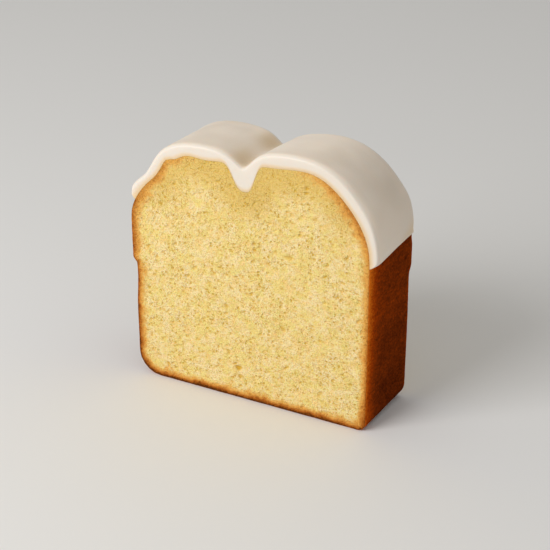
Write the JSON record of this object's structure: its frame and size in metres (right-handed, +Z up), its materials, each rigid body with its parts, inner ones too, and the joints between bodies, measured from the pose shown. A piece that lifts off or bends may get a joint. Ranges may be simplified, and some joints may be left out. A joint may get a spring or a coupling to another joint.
{
  "type": "slice of iced lemon loaf cake",
  "caption": "Thick upright slice of lemon loaf cake: fine yellow crumb at both cuts, browned crust on the sides and base, and thick white icing over a domed, cracked top.",
  "frame": {"origin": "under the middle of the slice, on the surface that its base stands on", "axes": "+X to the right across the loaf as the front cut is faced, +Y along the loaf from the front cut to the back cut, +Z up"},
  "size_m": [0.0902, 0.0264, 0.0924],
  "materials": {
    "cake": "matte",
    "icing": "satin"
  },
  "bodies": {
    "root": {"cake": "cake", "icing": "icing"}
  },
  "joints": []
}
